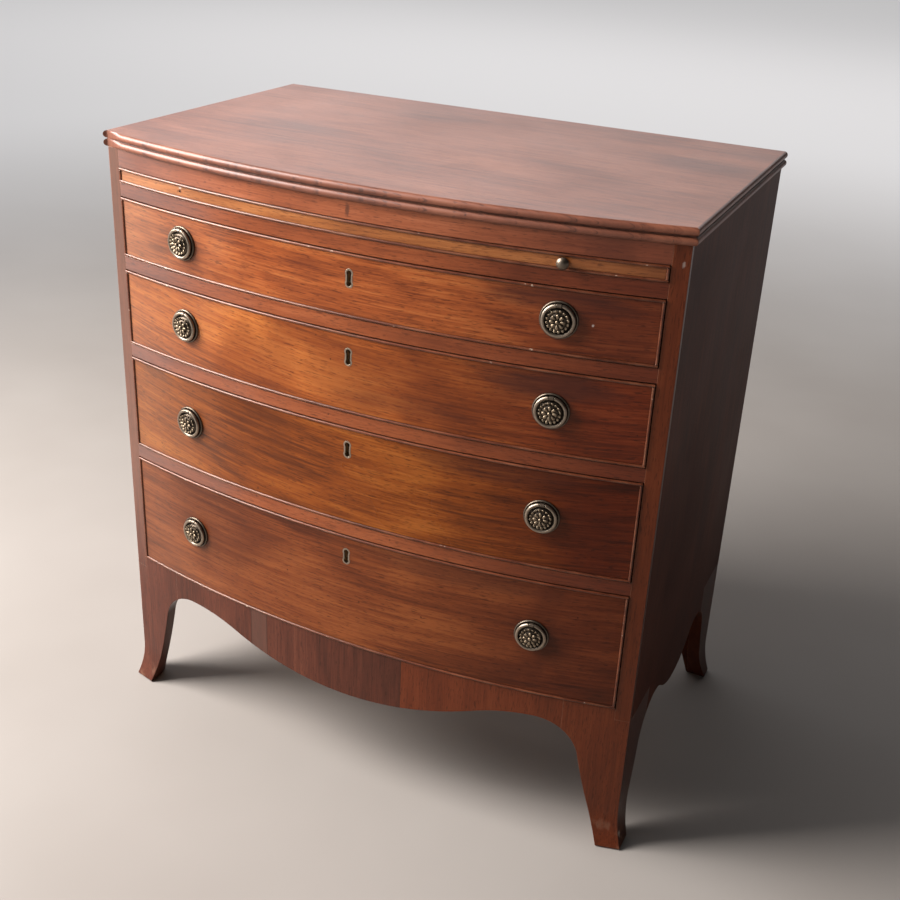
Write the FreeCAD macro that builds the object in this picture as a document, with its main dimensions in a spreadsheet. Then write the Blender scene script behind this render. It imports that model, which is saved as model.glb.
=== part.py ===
"""Bow front chest of drawers with a brushing slide, every piece a solid of its own, in millimetres.

The chest stands on z = 0 and faces -y. The origin is under the middle of its top, so x = 0 is the
middle of its width and y = 0 the middle of its depth. Rails, drawer fronts, slide, apron and front
feet share one bow, a circle about an upright axis behind the chest.
"""
import FreeCAD, Part
import math
import os
import Sketcher

SIZES = {
    # Top
    "top_width": 840, "top_depth": 535, "top_thickness": 21.6, "top_bow_rise": 58,
    "reed_gap": 1.2, "reed_depth": 4.4,
    # Carcass
    "side_overhang": 6, "front_overhang": 7, "bow_rise": 53.5,
    "stile_width": 20.5, "stile_thickness": 6, "rail_height": 19.5, "rail_depth": 60,
    "tenon_length": 8, "tenon_shoulder": 5,
    "frieze_height": 24.6, "bottom_thickness": 18, "back_thickness": 10, "back_rebate": 10,
    "back_board_gap": 0.4, "runner_width": 40, "dust_thickness": 8, "dust_tongue": 6,
    "stop_spread": 180, "stop_width": 40, "stop_depth": 18, "stop_height": 5, "stop_gap": 0.4,
    "block_size": 22, "block_height": 24, "foot_block_height": 66, "apron_block_spread": 140,
    "top_block_spread": 200,
    # Base
    "base_height": 235.5, "foot_thickness": 20, "foot_reach": 90, "splay": 11, "splay_height": 64,
    "toe_round": 3, "toe_inset": 22, "ankle_bulge": 3, "arch_inset": 128, "arch_radius": 65,
    "front_arch_drop": 36.5, "side_arch_drop": 51.5, "apron_drop": 89,
    # Brushing slide
    "slide_opening": 21.4, "slide_gap_below": 0.4, "slide_gap_above": 0.6, "slide_edge_depth": 16,
    "slide_thickness": 18, "slide_depth": 400, "clamp_width": 60, "tongue_length": 8, "tongue_thickness": 6,
    "knob_radius": 7.7, "knob_dome": 4.5, "knob_back": 3, "knob_neck_radius": 3.2, "knob_length": 13,
    "knob_flange_radius": 5, "knob_flange": 1.5, "knob_stem_radius": 2.2, "knob_stem": 10,
    "stem_clearance": 0.1, "empty_hole_radius": 1.3,
    # Drawers
    "drawer_1_opening": 86.4, "drawer_2_opening": 113.5, "drawer_3_opening": 145.9,
    "drawer_4_opening": 180.9, "drawer_gap_side": 0.7, "drawer_gap_below": 0.8,
    "drawer_gap_above": 1.2, "front_thickness": 22, "box_inset": 2.6, "box_back_space": 28,
    "side_thickness": 10, "side_drop": 4, "runner_clearance": 0.25, "drawer_back_thickness": 9,
    "side_round": 2, "back_drop": 5, "drawer_bottom_thickness": 7, "drawer_bottom_rise": 9,
    "groove_depth": 5, "tail_pitch": 30, "tail_lap": 10, "tail_root": 6,
    "bead_thickness": 3.5, "bead_depth": 8, "bead_proud": 2, "bead_nose": 1.4,
    # Locks
    "lock_width": 52, "lock_height": 46, "lock_depth": 11, "bolt_width": 20, "bolt_thickness": 7,
    "bolt_length": 20, "bolt_throw": 8, "bolt_gap": 0.4, "bolt_clearance": 0.1, "mortise_margin": 1.5,
    "keyhole_drop": 33, "keyhole_height": 21, "keyhole_radius": 3.6, "keyhole_waist": 2.8,
    "escutcheon_wall": 2.2, "escutcheon_depth": 3, "escutcheon_proud": 0.2,
    # Ring handles
    "handle_inset": 119.8, "plate_radius": 23.8, "plate_thickness": 1.2, "rim_width": 2.8,
    "rim_rise": 1.2, "boss_radius": 15, "boss_height": 10, "boss_step": 3.4, "stud_radius": 3,
    "stud_clearance": 0.25, "stud_end": 2, "nut_radius": 6, "nut_height": 4, "seat_clearance": 0.05,
    "ring_radius": 19, "ring_tube": 2.3, "ring_stand": 5, "ring_end_gap": 0.4, "pin_radius": 1.35,
    "pin_clearance": 0.08, "pin_tip": 0.5, "pin_root": 0.8, "knuckle_width": 6, "knuckle_radius": 2.7,
    # How far cutting shapes run past what they cut
    "overrun": 10,
}

HANDLE_HEIGHT_SHARE = 0.525
APRON_CURVE_SHARE = 0.695
ARCH_END_SHARE = 0.97
KNUCKLE_FOOT_SHARE = 0.8
TAIL_ROOT_SHARE = 0.34
TAIL_END_SHARE = 0.46
BACK_BOARD_COUNT = 5
BOW_SWEEP_DEGREES = 90
DRAWER_COUNT = 4

doc = FreeCAD.newDocument("bow_front_chest")
sheet = doc.addObject("Spreadsheet::Sheet", "Sizes")
for row, (alias, number) in enumerate(SIZES.items(), start=1):
    sheet.set(f"A{row}", alias)
    sheet.set(f"B{row}", str(number))
    sheet.setAlias(f"B{row}", alias)
doc.recompute()


class Size:
    """A length worked out from the sheet: its value now and the expression that keeps it bound."""

    def __init__(self, value, text):
        self.value = value
        self.text = text

    def __add__(self, other):
        other = size(other)
        return Size(self.value + other.value, f"({self.text} + {other.text})")

    def __sub__(self, other):
        other = size(other)
        return Size(self.value - other.value, f"({self.text} - {other.text})")

    def __mul__(self, other):
        other = size(other)
        return Size(self.value * other.value, f"({self.text} * {other.text})")

    def __truediv__(self, other):
        other = size(other)
        return Size(self.value / other.value, f"({self.text} / {other.text})")

    def __neg__(self):
        return Size(-self.value, f"(-{self.text})")


def size(item):
    """Let a plain count or zero take part in lengths."""
    return item if isinstance(item, Size) else Size(item, str(item))


def of(alias):
    """The length in one cell of the sheet."""
    return Size(sheet.get(alias), f"Sizes.{alias}")


def root(square):
    return Size(math.sqrt(square.value), f"sqrt({square.text})")


def arc_radius(half_chord, rise):
    """Radius of a circle that rises by rise over a chord of twice half_chord."""
    return (half_chord * half_chord + rise * rise) / (rise * 2)


def slant(opposite, hypotenuse):
    """Angle in degrees whose sine is opposite / hypotenuse."""
    ratio = opposite / hypotenuse
    return Size(math.degrees(math.asin(ratio.value)), f"asin({ratio.text})")


# Places that many pieces share
ZERO = size(0)
FULL_TURN = Size(360, "360 deg")
QUARTER_TURN = Size(90, "90 deg")
overrun = of("overrun")
half = of("top_width") / 2 - of("side_overhang")
opening = half - of("stile_width")
back = of("top_depth") / 2
front = of("front_overhang") - back
corner = front + of("bow_rise")
bow_radius = arc_radius(half, of("bow_rise"))
bow_axis = front + bow_radius
rail_back = corner + of("rail_depth")
inner_back = back - of("back_thickness")
bottom_under = of("base_height") - of("bottom_thickness")
front_arch_height = of("base_height") - of("front_arch_drop")
side_arch_height = of("base_height") - of("side_arch_drop")
apron_clearance = of("base_height") - of("apron_drop")

drawers = range(1, DRAWER_COUNT + 1)
floors = {}
ceilings = {}
level = of("base_height")
for number in reversed(drawers):
    floors[number] = level
    ceilings[number] = level + of(f"drawer_{number}_opening")
    level = ceilings[number] + of("rail_height")
slide_floor = level
slide_ceiling = slide_floor + of("slide_opening")
under_top = slide_ceiling + of("frieze_height")

drawer_half = opening - of("drawer_gap_side")
box_half = drawer_half - of("box_inset")
handle_spread = drawer_half - of("handle_inset")
drawer_back = inner_back - of("box_back_space")
nose_radius = bow_radius + of("bead_proud")
front_inside = bow_radius - of("front_thickness")
base_inside = bow_radius - of("foot_thickness")


def bow_y(x, radius):
    """Where a circle about the bow's axis passes x, on the front."""
    return bow_axis - root(radius * radius - x * x)


# Solids
def bind(item, **lengths):
    """Keep properties of a document object equal to lengths."""
    for name, length in lengths.items():
        item.setExpression(name, size(length).text)
    return item


def place(item, x, y, z):
    """Bind where a document object stands."""
    for axis, length in zip("xyz", (x, y, z)):
        item.setExpression(f"Placement.Base.{axis}", size(length).text)
    return item


def turned(item, axis, degrees):
    """Turn a document object by a fixed angle about one of its own axes."""
    item.Placement = FreeCAD.Placement(FreeCAD.Vector(), FreeCAD.Rotation(FreeCAD.Vector(*axis), degrees))
    return item


def box(name, x, y, z):
    """Box between a low and a high place on each axis."""
    item = doc.addObject("Part::Box", name)
    bind(item, Length=size(x[1]) - x[0], Width=size(y[1]) - y[0], Height=size(z[1]) - z[0])
    return place(item, x[0], y[0], z[0])


def rod(name, radius, length, start, along):
    """Cylinder from start along +x or +y."""
    item = doc.addObject("Part::Cylinder", name)
    bind(item, Radius=radius, Height=length)
    turns = {"x": ((0, 1, 0), 90), "y": ((1, 0, 0), -90)}
    turned(item, *turns[along])
    return place(item, *start)


def common(name, *solids):
    item = doc.addObject("Part::MultiCommon", name)
    item.Shapes = solids
    return item


def fuse(name, *solids):
    item = doc.addObject("Part::MultiFuse", name)
    item.Shapes = solids
    return item


def cut(name, base, *tools):
    """Take each tool away from base in turn."""
    for count, tool in enumerate(tools, start=1):
        item = doc.addObject("Part::Cut", name if count == len(tools) else f"{name}_cut_{count}")
        item.Base = base
        item.Tool = tool
        base = item
    return base


def mirrored(name, solid, axis="x", middle=ZERO):
    """The same piece on the other side of a place on an axis: on the left of the chest unless told."""
    item = doc.addObject("Part::Mirroring", name)
    item.Source = solid
    item.Normal = FreeCAD.Vector(*(letter == axis for letter in "xyz"))
    item.setExpression(f"Base.{axis}", middle.text)
    return item


def group(name, *solids):
    item = doc.addObject("Part::Compound", name)
    item.Links = solids
    return item


bows = {}


def bow(radius):
    """Upright cylinder about the bow's axis, taller than the chest; one for each radius."""
    if radius.text not in bows:
        item = doc.addObject("Part::Cylinder", f"bow_{len(bows) + 1}")
        bind(item, Radius=radius, Height=under_top + overrun * 2)
        bows[radius.text] = place(item, ZERO, bow_axis, -overrun)
    return bows[radius.text]


def slab(name, x, y_back, z, radius=bow_radius):
    """Board with a straight back and a front edge on the bow."""
    blank = box(f"{name}_blank", x, (front - overrun, y_back), z)
    return common(name, blank, bow(radius))


def bent(name, x, z, outer, inner):
    """Plate that follows the bow, between two radii."""
    blank = slab(f"{name}_slab", x, ZERO, z, outer)
    return cut(name, blank, bow(inner))


# Outlines
def arc_between(start, end, radius):
    """Arc of less than a half circle; a positive radius turns left on the way."""
    middle = (start + end) / 2
    chord = end - start
    normal = FreeCAD.Vector(-chord.y, chord.x, 0).normalize()
    height = math.sqrt(radius ** 2 - (chord.Length / 2) ** 2)
    centre = middle + normal * math.copysign(height, radius)
    first, last = (start, end) if radius > 0 else (end, start)
    angles = [math.atan2(point.y - centre.y, point.x - centre.x) for point in (first, last)]
    return Part.ArcOfCircle(Part.Circle(centre, FreeCAD.Vector(0, 0, 1), abs(radius)), *angles)


def draw(sketch, corners):
    """Closed outline through corners (u, v), or (u, v, radius) where an arc arrives, all bound."""
    points = [FreeCAD.Vector(size(c[0]).value, size(c[1]).value, 0) for c in corners]
    heads = []
    for index, corner_sizes in enumerate(corners):
        start, end = points[index - 1], points[index]
        if len(corner_sizes) == 3:
            radius = corner_sizes[2].value
            sketch.addGeometry(arc_between(start, end, radius))
            heads.append(2 if radius > 0 else 1)
        else:
            sketch.addGeometry(Part.LineSegment(start, end))
            heads.append(2)
    for index, head in enumerate(heads):
        following = (index + 1) % len(corners)
        tail = 3 - heads[following]
        sketch.addConstraint(Sketcher.Constraint("Coincident", index, head, following, tail))
    for index, corner_sizes in enumerate(corners):
        for kind, axis, length in (("DistanceX", -2, corner_sizes[0]), ("DistanceY", -1, corner_sizes[1])):
            length = size(length)
            if length.value == 0:
                sketch.addConstraint(Sketcher.Constraint("PointOnObject", index, heads[index], axis))
                continue
            rule = Sketcher.Constraint(kind, -1, 1, index, heads[index], length.value)
            place_in_list = sketch.addConstraint(rule)
            sketch.setExpression(f"Constraints[{place_in_list}]", length.text)
        if len(corner_sizes) == 3:
            radius = corner_sizes[2]
            radius = radius if radius.value > 0 else -radius
            place_in_list = sketch.addConstraint(Sketcher.Constraint("Radius", index, radius.value))
            sketch.setExpression(f"Constraints[{place_in_list}]", radius.text)


def outlined(name, plane, corners):
    """Body with one sketch on one of its own planes."""
    body = doc.addObject("PartDesign::Body", name)
    sketch = body.newObject("Sketcher::SketchObject", f"{name}_outline")
    planes = {item.Role: item for item in body.Origin.OriginFeatures}
    sketch.AttachmentSupport = (planes[plane], [""])
    sketch.MapMode = "FlatFace"
    draw(sketch, corners)
    return body, sketch


def padded(name, plane, corners, length, both_ways=False):
    body, sketch = outlined(name, plane, corners)
    pad = body.newObject("PartDesign::Pad", f"{name}_pad")
    pad.Profile = sketch
    pad.Midplane = both_ways
    bind(pad, Length=length)
    return body


def spun(name, plane, corners, angle=360):
    """Body turned about its sketch's upright axis, evenly to both sides of the sketch."""
    body, sketch = outlined(name, plane, corners)
    turn = body.newObject("PartDesign::Revolution", f"{name}_turn")
    turn.Profile = sketch
    turn.ReferenceAxis = (sketch, ["V_Axis"])
    turn.Midplane = True
    bind(turn, Angle=angle)
    return body


def about_bow(name, corners, angle, axis_y, z):
    """Body turned about an upright axis behind the chest, over its front."""
    body = turned(spun(name, "XZ_Plane", corners, angle), (0, 0, 1), -90)
    return place(body, ZERO, axis_y, z)


# Nodes
nodes = {}


def node(name, *solids):
    """One named piece of the chest, or one group of like pieces."""
    piece = solids[0] if len(solids) == 1 else group(name, *solids)
    piece.Label = name
    nodes[name] = piece
    return piece


def make_top():
    """Board whose double-reed edge runs round the bow and both ends and meets at square corners."""
    thickness = of("top_thickness")
    depth = of("reed_depth")
    reed = (thickness - of("reed_gap")) / 2
    reed_radius = arc_radius(reed / 2, depth)
    upper = thickness - reed
    radius = arc_radius(of("top_width") / 2, of("top_bow_rise"))
    rim = radius - depth
    inside = radius - of("top_depth") - overrun
    disc = about_bow("top_disc", [
        (inside, ZERO), (rim, ZERO), (rim, reed, reed_radius), (rim, upper),
        (rim, thickness, reed_radius), (inside, thickness),
    ], BOW_SWEEP_DEGREES, radius - back, under_top)
    far = of("top_width") - depth
    board = padded("top_board", "XZ_Plane", [
        (depth, ZERO, reed_radius), (far, ZERO), (far, reed, reed_radius), (far, upper),
        (far, thickness, reed_radius), (depth, thickness), (depth, upper, reed_radius), (depth, reed),
    ], of("top_depth") + overrun)
    place(board, of("top_width") / -2, back, under_top)
    node("top", common("top_solid", disc, board))


def make_carcass():
    """Sides, facings, rails with their dust boards and runners, bottom and back."""
    tall = (bottom_under, under_top)
    stile = bent("right_stile", (opening, half), tall, bow_radius, bow_radius - of("stile_thickness"))
    node("stiles", stile, mirrored("left_stile", stile))

    wide = (-opening, opening)
    frieze_z = (slide_ceiling, under_top)
    tenons = [tenon("frieze_tenon", frieze_z)]
    node("frieze_rail", fuse("frieze_solid", slab("frieze_board", wide, rail_back, frieze_z), *tenons))
    bottom_z = (bottom_under, of("base_height"))
    node("bottom_board", slab("bottom_solid", wide, inner_back, bottom_z, base_inside))

    runner_x = (opening - of("runner_width"), opening)
    dust_half = runner_x[0] + of("dust_tongue")
    rails = []
    dust_boards = []
    runners = []
    for number in drawers:
        z = (ceilings[number], ceilings[number] + of("rail_height"))
        dust_low = z[0] + (of("rail_height") - of("dust_thickness")) / 2
        dust = box(f"dust_board_{number}", (-dust_half, dust_half),
                   (rail_back - of("dust_tongue"), inner_back), (dust_low, dust_low + of("dust_thickness")))
        tenons.append(tenon(f"rail_{number}_tenon", z))
        rail = fuse(f"rail_{number}_blank", slab(f"rail_{number}_board", wide, rail_back, z), tenons[-1])
        rails.append(cut(f"rail_{number}", rail, dust, mortise(number)))
        runner = box(f"runner_{number}_board", runner_x, (rail_back, inner_back), z)
        runner = cut(f"runner_{number}", runner, dust)
        runners += [runner, mirrored(f"left_runner_{number}", runner)]
        dust_boards.append(dust)
    kicker = box("kicker", runner_x, (rail_back, inner_back), (slide_ceiling, under_top))
    node("slide_rail", rails[0])
    node("drawer_dividers", *rails[1:])
    node("dust_boards", *dust_boards)
    node("runners", *runners, kicker, mirrored("left_kicker", kicker))

    side = slab("side_board", (opening, half), back, tall, bow_radius - of("stile_thickness"))
    rebate = box("side_rebate", (ZERO, half - of("back_rebate")), (inner_back, back + overrun),
                 (ZERO, under_top))
    right = cut("right_side_solid", side, rebate, *tenons)
    node("right_side", right)
    node("left_side", mirrored("left_side_solid", right))

    back_half = half - of("back_rebate")
    pitch = (back_half * 2 + of("back_board_gap")) / BACK_BOARD_COUNT
    boards = []
    for count in range(BACK_BOARD_COUNT):
        x = pitch * count - back_half
        x = (x, x + pitch - of("back_board_gap"))
        boards.append(box(f"back_board_{count + 1}", x, (inner_back, back), tall))
    node("back_boards", *boards)

    stops = []
    seat = front_inside - of("stop_gap")
    x = (of("stop_spread") - of("stop_width") / 2, of("stop_spread") + of("stop_width") / 2)
    for number in drawers:
        z = (floors[number], floors[number] + of("stop_height"))
        stop = slab(f"stop_{number}", x, bow_y(of("stop_spread"), seat) + of("stop_depth"), z, seat)
        stops += [stop, mirrored(f"left_stop_{number}", stop)]
    node("drawer_stops", *stops)


def tenon(name, z):
    """Stub tenons on both ends of a rail, one slab that runs through it and into the sides."""
    shoulder = of("tenon_shoulder")
    reach = opening + of("tenon_length")
    return slab(name, (-reach, reach), rail_back - shoulder, (z[0] + shoulder, z[1] - shoulder),
                bow_radius - of("stile_thickness") - shoulder)


def mortise(number):
    """Pocket for a lock bolt in the rail above a drawer."""
    margin = of("mortise_margin")
    x = of("bolt_width") / 2 + margin
    y = of("bolt_thickness") / 2 + margin
    middle = front + of("front_thickness") - of("lock_depth") / 2
    z = (ceilings[number] - overrun, ceilings[number] + of("bolt_throw") + margin)
    return box(f"mortise_{number}", (-x, x), (middle - y, middle + y), z)


def arch_v(arch_height, run):
    """Height of the outer arch at a distance from its crown."""
    radius = of("arch_radius")
    return arch_height - radius + root(radius * radius - run * run)


def foot_outline(arch_height, shoulder):
    """Elevation of a bracket foot, measured inward from a line outside its toe."""
    margin = of("splay") + overrun
    run = of("arch_radius") * ARCH_END_SHARE
    bend = of("arch_inset") - run
    bend_v = arch_v(arch_height, run)
    lean = bend - of("toe_inset")
    ankle = arc_radius(root(lean * lean + bend_v * bend_v) / 2, of("ankle_bulge"))
    joint = margin + of("foot_reach")
    return [
        (joint, shoulder[-1][1]), (joint, arch_v(arch_height, of("arch_inset") - of("foot_reach"))),
        (margin + bend, bend_v, of("arch_radius")), (margin + of("toe_inset"), ZERO, -ankle),
        (ZERO, ZERO), *shoulder,
    ]


def skirt_outline(span, arch_height, top):
    """Elevation between two feet: a low middle that sweeps up to an arch at each end."""
    reach = of("foot_reach")
    inset = of("arch_inset")
    arch = of("arch_radius")
    joint = arch_v(arch_height, inset - reach)
    run = span / 2 - inset
    rise = arch_height - apron_clearance
    low_run = run * APRON_CURVE_SHARE
    low_rise = rise * APRON_CURVE_SHARE
    low = arc_radius(low_run, low_rise)
    high = arc_radius(run - low_run, rise - low_rise)
    turn = apron_clearance + low_rise
    return [
        (reach, top), (reach, joint), (inset, arch_height, -arch), (span / 2 - low_run, turn, -high),
        (span / 2, apron_clearance, low), (span / 2 + low_run, turn, low),
        (span - inset, arch_height, -high), (span - reach, joint, -arch), (span - reach, top),
    ]


def make_base():
    """Feet, apron and skirts, cut from one block that follows the bow and flares out to the floor."""
    splay = of("splay")
    toe = of("toe_round")
    rise = of("splay_height")
    flare = arc_radius(rise - toe, splay)
    height = of("base_height")
    inside = bow_radius - of("top_depth") - overrun
    edge = bow_radius + splay
    sweep = about_bow("base_sweep", [
        (inside, ZERO), (edge - toe, ZERO), (edge, toe, toe), (bow_radius, rise, -flare),
        (bow_radius, height), (inside, height),
    ], BOW_SWEEP_DEGREES, bow_axis, ZERO)
    far = half * 2 + splay * 2
    block = padded("base_block", "XZ_Plane", [
        (toe, ZERO, toe), (far - toe, ZERO), (far, toe, toe), (far - splay, rise, -flare),
        (far - splay, height), (splay, height), (splay, rise), (ZERO, toe, -flare),
    ], of("top_depth") + splay + overrun)
    place(block, -half - splay, back, ZERO)
    base = common("base", sweep, block)

    margin = splay + overrun
    through = of("top_depth") * 3
    stile = margin + of("stile_width")
    front_foot = padded("front_foot_elevation", "XZ_Plane", foot_outline(front_arch_height, [
        (ZERO, bottom_under), (stile, bottom_under), (stile, height),
    ]), through, True)
    place(turned(front_foot, (0, 0, 1), 180), half + margin, ZERO, ZERO)
    side_foot = padded("side_foot_elevation", "YZ_Plane", foot_outline(side_arch_height, [
        (ZERO, bottom_under),
    ]), through, True)
    place(side_foot, ZERO, corner - margin, ZERO)
    rear_foot = mirrored("rear_foot_elevation", side_foot, "y", (corner + back) / 2)

    inner = half - of("foot_thickness")
    right = box("right_wall", (inner, half + margin), (front - margin, back + margin), (ZERO, height))
    hollow = bow(base_inside)
    rear_y = (back - of("foot_thickness"), back)
    rear = box("rear_wall", (ZERO, inner), rear_y, (ZERO, bottom_under))
    brackets = {
        "front_right_foot": (
            cut("front_bracket", common("front_bracket_blank", base, front_foot), hollow),
            common("front_side_bracket", base, right, side_foot, hollow),
        ),
        "rear_right_foot": (
            common("rear_side_bracket", base, right, rear_foot),
            common("rear_bracket", front_foot, rear),
        ),
    }
    for name, pair in brackets.items():
        node(name, *pair)
        node(name.replace("right", "left"), *[mirrored(f"{item.Name}_left", item) for item in pair])

    apron = padded("apron_elevation", "XZ_Plane",
                   skirt_outline(half * 2, front_arch_height, height), through, True)
    place(apron, -half, ZERO, ZERO)
    node("apron", cut("apron_solid", common("apron_blank", base, apron), hollow))
    skirt = padded("skirt_elevation", "YZ_Plane",
                   skirt_outline(back - corner, side_arch_height, bottom_under), through, True)
    place(skirt, ZERO, corner, ZERO)
    wall = box("skirt_wall", (inner, half), (corner, back), (ZERO, height))
    right_skirt = common("right_skirt", skirt, wall)
    node("side_skirts", right_skirt, mirrored("left_skirt", right_skirt))


def make_glue_blocks():
    """Blocks in the corners of the feet, behind the apron and skirts, and behind the frieze."""
    block = of("block_size")
    low = bottom_under - of("block_height")
    inner = half - of("foot_thickness")
    x = (inner - block, inner)
    z = (bottom_under - of("foot_block_height"), bottom_under)
    rear_y = back - of("foot_thickness")
    middle = (corner + back) / 2
    spread = of("apron_block_spread")
    blocks = [
        slab("front_foot_block", x, bow_y(inner, base_inside) + block, z, base_inside),
        box("rear_foot_block", x, (rear_y - block, rear_y), z),
        box("skirt_block", x, (middle - block, middle + block), (low, bottom_under)),
        slab("apron_block", (spread - block, spread + block), bow_y(spread, base_inside) + block,
             (low, bottom_under), base_inside),
    ]
    spread = of("top_block_spread")
    blocks.append(box("top_block", (spread - block, spread + block), (rail_back, rail_back + block),
                      (under_top - block, under_top)))
    node("glue_blocks", *blocks, *[mirrored(f"{item.Name}_left", item) for item in blocks])


def make_bead_rail():
    """Bead strip that follows the bow, made at the floor and copied to each height."""
    bead = of("bead_thickness")
    nose = of("bead_nose")
    return about_bow("bead_rail", [
        (bow_radius - of("bead_depth"), ZERO), (nose_radius - nose, ZERO),
        (nose_radius - nose, bead, arc_radius(bead / 2, nose)), (bow_radius - of("bead_depth"), bead),
    ], slant(drawer_half, nose_radius) * 2, bow_axis, ZERO)


def bead_frame(name, low, high):
    """Four bead strips let into the edges of a front: long ones through, short ones between."""
    bead = of("bead_thickness")
    nose = of("bead_nose")
    inward = of("bead_depth") + of("bead_proud")
    cosine = root(nose_radius * nose_radius - drawer_half * drawer_half) / nose_radius
    sine = drawer_half / nose_radius
    under = place(group(f"{name}_bead_under", bead_rail), ZERO, ZERO, low)
    over = place(group(f"{name}_bead_over", bead_rail), ZERO, ZERO, high - bead)
    right = padded(f"{name}_bead_right", "XY_Plane", [
        (ZERO, inward), (ZERO, nose), (bead, nose, arc_radius(bead / 2, nose)), (bead, inward),
    ], high - low - bead * 2)
    place(right, drawer_half - bead * cosine, bow_y(drawer_half, nose_radius) - bead * sine, low + bead)
    right.setExpression("Placement.Rotation.Angle", slant(drawer_half, nose_radius).text)
    return under, over, right, mirrored(f"{name}_bead_left", right)


def on_bow(name, solid, z):
    """Copy of a part made at the origin, set square on the bow where the right handles are."""
    item = place(group(name, solid), handle_spread, bow_y(handle_spread, bow_radius), z)
    item.setExpression("Placement.Rotation.Angle", slant(handle_spread, bow_radius).text)
    return item


def make_slide():
    """Brushing slide: a clamped board with a beaded, bowed edge and a knob."""
    low = slide_floor + of("slide_gap_below")
    high = slide_ceiling - of("slide_gap_above")
    inside = bow_radius - of("slide_edge_depth")
    beads = bead_frame("slide", low, high)
    length = of("knob_length")
    knob = spun("knob_turned", "XY_Plane", [
        (ZERO, ZERO), (of("knob_radius"), of("knob_dome"), arc_radius(of("knob_radius"), of("knob_dome"))),
        (of("knob_neck_radius"), of("knob_dome") + of("knob_back")),
        (of("knob_neck_radius"), length - of("knob_flange")),
        (of("knob_flange_radius"), length - of("knob_flange")), (of("knob_flange_radius"), length),
        (of("knob_stem_radius"), length), (of("knob_stem_radius"), length + of("knob_stem")),
        (ZERO, length + of("knob_stem")),
    ])
    place(knob, ZERO, -length, ZERO)
    stem = rod("stem_bore", of("knob_stem_radius") + of("stem_clearance"),
               overrun + of("knob_stem") + of("stem_clearance"), (ZERO, -overrun, ZERO), "y")
    empty = rod("empty_bore", of("empty_hole_radius"), overrun + of("knob_stem"), (ZERO, -overrun, ZERO), "y")
    middle = (low + high) / 2
    edge = bent("slide_edge", (-box_half, box_half), (low, high), bow_radius, inside)
    node("slide_front", cut("slide_edge_solid", edge, *beads, on_bow("slide_stem_bore", stem, middle),
                            mirrored("slide_empty_bore", on_bow("slide_empty_bore_right", empty, middle))))
    node("slide_beading", *beads)
    node("slide_knob", on_bow("slide_knob_placed", knob, middle))
    panel_half = box_half - of("clamp_width")
    end = front + of("slide_depth")
    z = (low, low + of("slide_thickness"))
    tongue_half = panel_half + of("tongue_length")
    tongue_low = low + (of("slide_thickness") - of("tongue_thickness")) / 2
    tongue = slab("slide_tongue", (-tongue_half, tongue_half), end,
                  (tongue_low, tongue_low + of("tongue_thickness")), inside)
    clamp = cut("slide_clamp", slab("slide_clamp_board", (panel_half, box_half), end, z, inside), tongue)
    panel = fuse("slide_panel", slab("slide_panel_board", (-panel_half, panel_half), end, z, inside), tongue)
    node("slide_board", panel, clamp, mirrored("slide_clamp_left", clamp))


def keyhole(name, middle, y, wall):
    """Upright slot with round ends and a narrower waist, grown by wall on every side."""
    radius = of("keyhole_radius") + wall
    waist = of("keyhole_waist") + wall
    offset = of("keyhole_height") / 2 - of("keyhole_radius")
    return fuse(
        name,
        rod(f"{name}_upper", radius, y[1] - y[0], (ZERO, y[0], middle + offset), "y"),
        rod(f"{name}_lower", radius, y[1] - y[0], (ZERO, y[0], middle - offset), "y"),
        box(f"{name}_waist", (-waist, waist), y, (middle - offset, middle + offset)),
    )


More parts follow.
